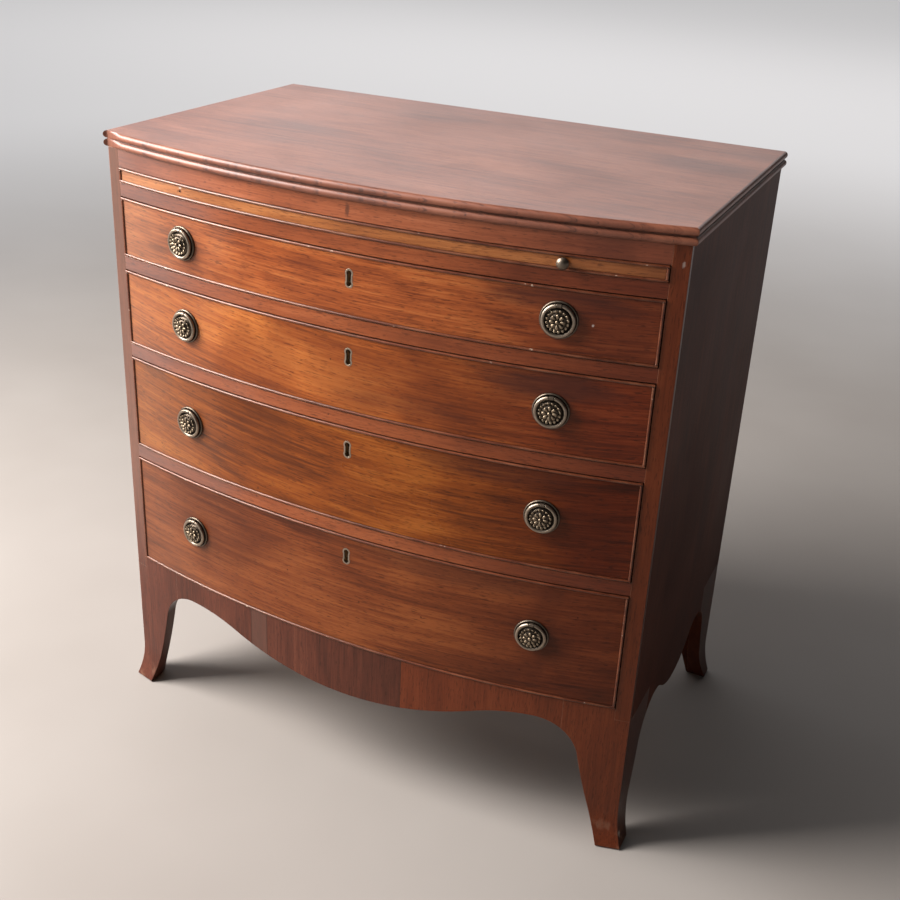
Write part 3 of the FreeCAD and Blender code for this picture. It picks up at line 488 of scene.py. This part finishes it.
def raise_grain(finish, pores, streak, soft):
    """Sink the pores and raise the streaks a little."""
    finish.raised(finish.minus(finish.times(streak, STREAK_RELIEF), pores), *GRAIN_RELIEF, soft)


def flecks(finish, share):
    """Small dark pits and bruises, scattered over a share of the places that they may take."""
    dots = finish.add("ShaderNodeTexVoronoi", {
        "Vector": finish.place, "Scale": FLECK_SCALE, "Randomness": 1.0,
    })
    near = finish.steps(dots.outputs["Distance"], *FLECK_SPAN)
    lot = finish.add("ShaderNodeSeparateColor", {0: dots.outputs["Color"]}).outputs[0]
    return finish.times(near, finish.work("GREATER_THAN", lot, 1.0 - share))


def polished(name, grain, tones, seed, slope=(0, 0, 0), figure=1.0, gloss=0.33, rubbing=0.35,
             worn=WORN_EDGE, pits=0.25, marks=(), veneer=False, shine=0.3, arch=None, right_shade_and_stain=0.0,
             painted_sheen=None, dull_under=None, tint=SHELLAC, mottle=0.45):
    """Old french-polished mahogany with rubbed edges and small knocks."""
    finish = Finish(name)
    finish.turned(slope)
    if arch:
        finish.arched(*arch)
    colour, pores, streak = mahogany_colour(finish, grain, tones, seed, figure)
    shade = finish.noise(SHADE_CLOUDS, seed + 20, 3, 0.4)
    colour = finish.blend(finish.steps(shade, *SHADE_SPAN, 0.0, mottle), colour, tones[0])
    dirt = shaded(tones[0], 0.25, 0.25, 0.3)
    colour = finish.stain(colour, flecks(finish, pits), 0.75, dirt)
    # Darker to the right: painted shade where less light falls, over the old polish's own darkening
    if right_shade_and_stain:
        drift = finish.times(finish.minus(shade, 0.5), SHADE_DRIFT)
        across = finish.plus(finish.axis("X"), drift)
        colour = finish.blend(finish.steps(across, *RIGHT_SHADE_AND_STAIN_SPAN, 0.0, right_shade_and_stain), colour, RIGHT_SHADE_AND_STAIN, "MULTIPLY")
        # a painted sheen over the left end, where the lamp's reflection falls
        amount, tone = painted_sheen
        colour = finish.blend(finish.steps(across, *PAINTED_SHEEN_SPAN, 0.0, amount), colour, tone)
    colour = finish.marked(colour, marks)
    # darker in corners: painted shade, with the dirt that gathers there
    colour = finish.stain(colour, finish.crevice(CORNER_REACH), 0.7, dirt)
    rub, soft = finish.edges(EDGE_RADIUS)
    patchy = finish.steps(finish.noise(RUB_CLOUDS, seed + 30, 3), *RUB_SPAN)
    colour = finish.stain(colour, finish.times(rub, patchy), rubbing, worn)
    if veneer:
        skin = finish.steps(finish.from_bow(), *VENEER_SPAN)
        core = finish.ramp(finish.noise(CORE_CLOUDS, seed + 40, 3), PAIR_STOPS, CORE_TONES)
        colour = finish.blend(skin, core, colour)
    rough = finish.plus(finish.times(shade, GLOSS_DRIFT), gloss - GLOSS_DRIFT / 2)
    if dull_under:
        dull = finish.steps(finish.axis("Z"), dull_under, dull_under - EDGE_FADE, 0.0, EDGE_DULLNESS)
        rough = finish.work("MAXIMUM", rough, dull)
    raise_grain(finish, pores, streak, soft)
    return finish.finished({
        "Base Color": colour, "Roughness": rough, "Coat Weight": COAT_SHARE * shine,
        "Coat Roughness": COAT_ROUGHNESS, "Specular IOR Level": shine, "Specular Tint": (*tint, 1.0),
    })


def bare_wood(name, grain, tones, seed, boards=None):
    """Unpolished oak or pine, dark and dusty with age; boards side by side each have their own grain."""
    finish = Finish(name)
    if boards:
        edge, pitch = boards
        across = finish.work("DIVIDE", finish.minus(finish.axis("X"), edge), pitch)
        number = finish.work("FLOOR", across)
        shift = finish.add("ShaderNodeCombineXYZ", {2: finish.times(number, BOARD_SHIFT)}).outputs[0]
        finish.place = finish.add("ShaderNodeVectorMath", {0: finish.place, 1: shift}).outputs[0]
    rings = finish.noise(along(grain, *RING_LAYER), seed, 3, 0.8)
    lines = finish.noise(along(grain, *LINE_LAYER), seed + 5, 2)
    mix = finish.plus(finish.times(rings, RING_SHARE), finish.times(lines, LINE_SHARE))
    dark, _, light = tones
    colour = finish.ramp(mix, BARE_STOPS, tones)
    grime = finish.noise(GRIME_CLOUDS, seed + 9, 4)
    dirt = finish.steps(grime, *GRIME_SPAN, 0.0, 0.35)
    colour = finish.blend(dirt, colour, shaded(dark, 0.6, 0.55, 0.5))
    if boards:
        lot = finish.add("ShaderNodeTexWhiteNoise", {"W": number}, noise_dimensions="1D").outputs["Value"]
        colour = finish.blend(finish.steps(lot, 0.0, 1.0, 0.0, 0.5), colour, dark)
        # a thin dark line at each seam between boards: painted shadow of the gap
        seam = finish.work("ABSOLUTE", finish.minus(finish.work("FRACT", across), 0.5))
        colour = finish.blend(finish.steps(seam, *SEAM_SPAN, 0.0, 0.9), colour, BOARD_SEAM_SHADOW)
    # painted shade darkens the corners
    colour = finish.stain(colour, finish.crevice(BARE_CORNER_REACH), 0.55, shaded(dark, 0.3, 0.3, 0.3))
    rub, soft = finish.edges(BARE_EDGE_RADIUS)
    colour = finish.stain(colour, rub, 0.3, shaded(light, 1.1, 1.1, 1.1))
    finish.raised(mix, *BARE_RELIEF, soft)
    rough = finish.steps(grime, *BARE_ROUGH_SPAN, *BARE_ROUGHNESS)
    return finish.finished({"Base Color": colour, "Roughness": rough})


def beading(name, seed):
    """Cock bead, its polish rubbed through to pale wood on the nose and nicked along its length."""
    finish = Finish(name)
    colour, _, streak = mahogany_colour(finish, ALONG_X, BEAD_TONES, seed)
    rub, soft = finish.edges(BEAD_EDGE_RADIUS)
    patchy = finish.steps(finish.noise(BEAD_CLOUDS, seed + 4, 4), *BEAD_RUB_SPAN)
    nose = finish.steps(finish.from_bow(), *BEAD_NOSE_SPAN)
    pale = finish.times(finish.work("MAXIMUM", rub, finish.times(nose, 0.7)), patchy)
    colour = finish.stain(colour, pale, 0.38, WORN_BEAD)
    # painted shade, with dirt, darkens the bead's corners
    colour = finish.stain(colour, finish.crevice(BEAD_CORNER_REACH), 0.85, BEAD_SHADE_AND_DIRT)
    nicks = finish.steps(finish.noise(NICK_CLOUDS, seed + 8, 2), *NICK_SPAN)
    colour = finish.stain(colour, nicks, nose, BEAD_NICK)
    finish.raised(streak, *BEAD_RELIEF, soft)
    return finish.finished({
        "Base Color": colour, "Roughness": BEAD_ROUGHNESS,
        "Specular IOR Level": BEAD_SHINE, "Specular Tint": (*BEAD_POLISH, 1.0),
    })


def aged_brass(name, tones, rubbed, dull, bright):
    """Brass gone brown and dull in its hollows and rubbed bright where hands and cloths reach."""
    finish = Finish(name)
    rub, soft = finish.edges(BRASS_EDGE_RADIUS)
    cloud = finish.noise(BRASS_CLOUDS, BRASS_SEED, 3)
    drift = finish.times(finish.minus(cloud, 0.5), BRASS_DRIFT)
    open_face = finish.plus(finish.steps(finish.openness(BRASS_REACH), *BRASS_OPEN_SPAN), drift, clamp=True)
    colour = finish.ramp(open_face, BRASS_STOPS, tones)
    colour = finish.stain(colour, rub, 0.6, rubbed)
    rough = finish.steps(open_face, *BRASS_ROUGH_SPAN, dull, bright)
    finish.raised(cloud, *BRASS_RELIEF, soft)
    return finish.finished({"Base Color": colour, "Roughness": rough, "Metallic": BRASS_METAL})


def base_veneer():
    """Upright veneer of stiles, apron and front feet: purple-brown on the left, red-brown on the right."""
    finish = Finish("base_leaves")
    left, pores, streak = mahogany_colour(finish, ALONG_Z, APRON_SHADED_TONES, seed=25.0, figure=1.1)
    right = mahogany_colour(finish, ALONG_Z, APRON_RIGHT_SHADED_TONES, seed=27.0, figure=0.8)[0]
    flank = mahogany_colour(finish, ALONG_Z, SIDE_TONES, seed=29.0, figure=0.9)[0]
    x = finish.axis("X")
    z = finish.axis("Z")
    colour = finish.blend(finish.steps(x, *RIGHT_LEAF_START), left, right)
    strip = finish.times(finish.steps(x, *STRIP_START), finish.steps(x, *STRIP_END))
    colour = finish.stain(colour, strip, 0.5, PALE_STRIP)
    normal = finish.add("ShaderNodeNewGeometry").outputs["Normal"]
    facing = finish.add("ShaderNodeSeparateXYZ", {0: normal}).outputs["X"]
    colour = finish.blend(finish.steps(finish.work("ABSOLUTE", facing), *FLANK_SPAN), colour, flank)
    for joint in LEAF_JOINTS:
        rise = finish.steps(x, joint - JOINT_RIM, joint - JOINT_CORE)
        fall = finish.steps(x, joint + JOINT_RIM, joint + JOINT_CORE)
        colour = finish.stain(colour, finish.times(rise, fall), 0.6, LEAF_JOINT)
    scuff = finish.steps(finish.noise(SCUFF_CLOUDS, 28.0, 4, 0.5), *SCUFF_SPAN)
    toe = finish.times(scuff, finish.steps(z, *SCUFF_HEIGHTS))
    colour = finish.stain(colour, toe, 0.5, FOOT_SCUFF)
    colour = finish.marked(colour, BASE_MARKS)
    # a painted sheen on the left stile above its foot
    stile_sheen = finish.times(finish.steps(x, *STILE_SHEEN_END), finish.steps(z, *STILE_SHEEN_FOOT))
    colour = finish.stain(colour, stile_sheen, 0.14, PALE_SHEEN)
    rub, soft = finish.edges(EDGE_RADIUS)
    colour = finish.stain(colour, rub, 0.35, WORN_BASE_EDGE)
    raise_grain(finish, pores, streak, soft)
    return finish.finished({
        "Base Color": colour, "Roughness": BASE_ROUGHNESS,
        "Specular IOR Level": BASE_SHINE, "Specular Tint": (*SHELLAC, 1.0),
    })


def dress(material, *names):
    """Give CAD nodes their finish."""
    for name in names:
        slots = nodes[name].data.materials
        slots.clear()
        slots.append(material)


def dress_carcass():
    """Top, sides, front frame, apron, feet and what is inside."""
    dress(polished(
        "top_board", TOP_GRAIN, TOP_TONES, seed=4.0, slope=(0, 0, 1.5), figure=1.1, gloss=0.36, rubbing=0.5,
        worn=WORN_TOP_EDGE, pits=0.3, marks=TOP_MARKS, shine=0.55, dull_under=TOP_FACE, tint=CLEAR,
        mottle=0.28,
    ), "top")
    dress(polished(
        "frieze", FRONT_GRAIN, FRIEZE_TONES, seed=9.0, slope=(0, 0.5, 0), gloss=0.32, rubbing=0.3,
        marks=FRIEZE_MARKS, veneer=True, shine=0.6, right_shade_and_stain=0.6, painted_sheen=(0.5, MAUVE_SHEEN),
    ), "frieze_rail")
    dress(polished(
        "rails", FRONT_GRAIN, FRAME_TONES, seed=13.0, slope=(0, 0.4, 0), figure=0.9, gloss=0.32, rubbing=0.4,
        veneer=True, shine=0.42, right_shade_and_stain=0.8, painted_sheen=(0.5, MAUVE_SHEEN),
    ), "slide_rail", "drawer_dividers")
    dress(polished(
        "sides", SIDE_GRAIN, SIDE_TONES, seed=21.0, slope=(0.6, 0, 0), figure=0.9, gloss=0.62, rubbing=0.4,
        shine=0.14,
    ), "left_side", "right_side", "side_skirts")
    dress(base_veneer(), "stiles", "apron", "front_left_foot", "front_right_foot")
    dress(polished(
        "rear_feet", ALONG_Z, SIDE_TONES, seed=29.0, figure=0.9, gloss=0.45, rubbing=0.5, shine=0.2,
    ), "rear_left_foot", "rear_right_foot")
    dress(bare_wood("floor_pine", ALONG_X, PINE_TONES, seed=31.0), "bottom_board")
    dress(bare_wood("dust_pine", ALONG_X, PINE_TONES, seed=33.0), "dust_boards")
    dress(bare_wood("back_pine", ALONG_Z, PINE_TONES, seed=35.0, boards=BACK_BOARDS), "back_boards")
    dress(bare_wood("runner_oak", ALONG_Y, OAK_TONES, seed=37.0), "runners")
    dress(bare_wood("stop_oak", ALONG_X, OAK_TONES, seed=38.0), "drawer_stops")
    dress(bare_wood("block_pine", ALONG_Z, PINE_TONES, seed=39.0), "glue_blocks")


def dress_slide():
    """The brushing slide, lighter and more golden than the drawers."""
    dress(polished(
        "slide_edge", FRONT_GRAIN, SLIDE_TONES, seed=41.0, slope=(0, 0.6, 0), figure=0.9, rubbing=0.3,
        marks=SLIDE_MARKS, veneer=True, shine=0.5, right_shade_and_stain=0.3, painted_sheen=(0.18, PALE_SHEEN),
    ), "slide_front")
    dress(beading("slide_bead", seed=43.0), "slide_beading")
    dress(polished(
        "slide_boards", TOP_GRAIN, SLIDE_TONES, seed=45.0, figure=0.8, gloss=0.42, rubbing=0.3,
    ), "slide_board")
    dress(aged_brass("knob_brass", PLATE_BRASS, RUBBED_PLATE, dull=0.6, bright=0.40), "slide_knob")


def dress_drawers():
    """Fronts each cut from their own leaf, oak linings and brass fittings."""
    oak = bare_wood("lining_oak", ALONG_Y, OAK_TONES, seed=51.0)
    pine = bare_wood("drawer_pine", ALONG_X, PINE_TONES, seed=53.0)
    plate = aged_brass("plate_brass", PLATE_BRASS, RUBBED_PLATE, dull=0.62, bright=0.42)
    ring = aged_brass("ring_brass", RING_BRASS, RUBBED_RING, dull=0.6, bright=0.36)
    fittings = ("lock", "lock_bolt", "left_ring", "right_ring")
    for number, leaf in DRAWERS.items():
        drawer = f"drawer_{number}"
        dress(polished(
            f"{drawer}_leaf", FRONT_GRAIN, leaf["tones"], seed=60.0 + 7 * number, figure=1.25, gloss=0.31,
            rubbing=0.2, marks=leaf["marks"], veneer=True, shine=leaf["sheen"], arch=leaf["arch"],
            right_shade_and_stain=leaf["right_shade_and_stain"], painted_sheen=(leaf["painted_sheen"], GREY_SHEEN),
        ), f"{drawer}_front")
        dress(beading(f"{drawer}_bead", seed=90.0 + number), f"{drawer}_cockbeads")
        dress(oak, f"{drawer}_box")
        dress(pine, f"{drawer}_bottom")
        dress(plate, f"{drawer}_handle_plates")
        dress(ring, *(f"{drawer}_{fitting}" for fitting in fittings))


def show(name, data):
    """Put a mesh, lamp or camera in the scene."""
    shown = bpy.data.objects.new(name, data)
    bpy.context.scene.collection.objects.link(shown)
    return shown


def made_mesh(name, shape):
    """Turn a finished bmesh into a mesh."""
    mesh = bpy.data.meshes.new(name)
    shape.to_mesh(mesh)
    shape.free()
    return mesh


def petal(shape, angle, reach, length, width, height):
    """One carved leaf on the boss: a ball drawn out along its spoke, narrow at the root, laid on the dome."""
    made = bmesh.ops.create_uvsphere(shape, u_segments=14, v_segments=9, radius=0.5)["verts"]
    bmesh.ops.scale(shape, vec=(width, height, length), verts=made)
    for vertex in made:
        vertex.co.x *= 0.5 + 0.5 * (vertex.co.z / length + 0.5)
    tip = math.asin(reach / DOME_RADIUS)
    bmesh.ops.rotate(shape, cent=(0, 0, 0), matrix=Matrix.Rotation(tip, 3, "X"), verts=made)
    depth = DOME_RADIUS - BOSS_HEIGHT - math.sqrt(DOME_RADIUS ** 2 - reach ** 2)
    bmesh.ops.translate(shape, vec=(0, depth, reach), verts=made)
    bmesh.ops.rotate(shape, cent=(0, 0, 0), matrix=Matrix.Rotation(angle, 3, "Y"), verts=made)


def rosette_mesh():
    """Flower on a handle's boss: a bead, a ring of petals, and a ring of leaves between and beyond them."""
    shape = bmesh.new()
    middle = bmesh.ops.create_uvsphere(shape, u_segments=16, v_segments=10, radius=FLOWER_BEAD)["verts"]
    bmesh.ops.translate(shape, vec=(0, -BOSS_HEIGHT, 0), verts=middle)
    for count, offset, reach, length, width, height in FLOWER_RINGS:
        for number in range(count):
            petal(shape, math.tau * (number + offset) / count, reach, length, width, height)
    mesh = made_mesh("rosette", shape)
    mesh.shade_smooth()
    return mesh


def set_rosettes():
    """A flower on every handle, riding with its drawer."""
    brass = aged_brass("flower_brass", FLOWER_BRASS, RUBBED_FLOWER, dull=0.6, bright=0.44)
    pattern = rosette_mesh()
    for number in DRAWERS:
        low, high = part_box(f"drawer_{number}_handle_plates")
        for side, sign in (("left", -1), ("right", 1)):
            mesh = pattern.copy()
            spot = Vector((sign * HANDLE_X, HANDLE_Y, (low[2] + high[2]) / 2))
            mesh.transform(Matrix.Translation(spot) @ Matrix.Rotation(sign * HANDLE_TURN, 4, "Z"))
            mesh.materials.append(brass)
            flower = show(f"drawer_{number}_{side}_rosette", mesh)
            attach(flower, f"drawer_{number}")


def lay_floor():
    """A plain pale floor."""
    shape = bmesh.new()
    bmesh.ops.create_grid(shape, x_segments=1, y_segments=1, size=FLOOR_SIZE)
    mesh = made_mesh("floor", shape)
    floor = show("floor", mesh)
    finish = Finish("pale_floor")
    tint = finish.ramp(finish.noise(FLOOR_CLOUDS, 3.0, 3), PAIR_STOPS, FLOOR_TONES)
    away = finish.length(finish.here)
    mesh.materials.append(finish.finished({
        "Base Color": finish.blend(finish.steps(away, *FAR_SPAN), tint, FAR_FLOOR),
        "Roughness": FLOOR_ROUGHNESS,
        "Emission Color": (*FAR_GLOW, 1.0),
        "Emission Strength": finish.steps(away, *FAR_SPAN, 0.0, FAR_GLOW_STRENGTH),
    }))


def light_around():
    """Soft light from around, fading to the right; the camera sees a plain backdrop in its place."""
    world = bpy.data.worlds.new("studio")
    world.use_nodes = True
    bpy.context.scene.world = world
    tree = world.node_tree
    way = tree.nodes.new("ShaderNodeTexCoord")
    split = tree.nodes.new("ShaderNodeSeparateXYZ")
    fade = tree.nodes.new("ShaderNodeMapRange")
    fade.interpolation_type = "SMOOTHSTEP"
    for socket, level in AROUND_LEVELS.items():
        fade.inputs[socket].default_value = level
    around = tree.nodes["Background"]
    around.inputs["Color"].default_value = (*AROUND, 1.0)
    backdrop = tree.nodes.new("ShaderNodeBackground")
    backdrop.inputs["Color"].default_value = (*BACKDROP, 1.0)
    seen = tree.nodes.new("ShaderNodeLightPath")
    either = tree.nodes.new("ShaderNodeMixShader")
    for source, socket in (
        (way.outputs["Generated"], split.inputs[0]),
        (split.outputs["X"], fade.inputs["Value"]),
        (fade.outputs["Result"], around.inputs["Strength"]),
        (seen.outputs["Is Camera Ray"], either.inputs[0]),
        (around.outputs[0], either.inputs[1]),
        (backdrop.outputs[0], either.inputs[2]),
        (either.outputs[0], tree.nodes["World Output"].inputs["Surface"]),
    ):
        tree.links.new(source, socket)
    bpy.context.scene.view_settings.view_transform = "Standard"


def hang_lamps():
    """A broad soft lamp on the left and another over the far floor."""
    for name, (place, aim, size, watts, colour) in LAMPS.items():
        light = bpy.data.lights.new(name, "AREA")
        light.shape = "RECTANGLE"
        light.size, light.size_y = size
        light.energy = watts
        light.color = colour
        lamp = show(name, light)
        lamp.location = place
        lamp.rotation_euler = (Vector(aim) - Vector(place)).to_track_quat("-Z", "Y").to_euler()
        lamp.visible_camera = False


def set_camera():
    """The portrait's own viewpoint: from the front right, looking down, with its slight lean."""
    yaw, pitch, roll = (math.radians(angle) for angle in CAMERA_TURN)
    ahead = Vector((math.sin(yaw) * math.cos(pitch), math.cos(yaw) * math.cos(pitch), math.sin(pitch)))
    right = Vector((math.cos(yaw), -math.sin(yaw), 0))
    up = right.cross(ahead)
    level = math.cos(roll) * right + math.sin(roll) * up
    upright = math.cos(roll) * up - math.sin(roll) * right
    lens = bpy.data.cameras.new("portrait")
    lens.sensor_width = SENSOR_WIDTH
    lens.lens = FOCAL_LENGTH / PICTURE_SIZE * SENSOR_WIDTH
    lens.shift_x = (PICTURE_SIZE / 2 - PICTURE_CENTRE[0]) / PICTURE_SIZE
    lens.shift_y = (PICTURE_CENTRE[1] - PICTURE_SIZE / 2) / PICTURE_SIZE
    lens.clip_end = CAMERA_SIGHT
    camera = show("portrait", lens)
    turn = Matrix((level, upright, -ahead)).transposed()
    camera.matrix_world = Matrix.Translation(CAMERA_PLACE) @ turn.to_4x4()
    bpy.context.scene.camera = camera


dress_carcass()
dress_slide()
dress_drawers()
set_rosettes()
lay_floor()
light_around()
hang_lamps()
set_camera()
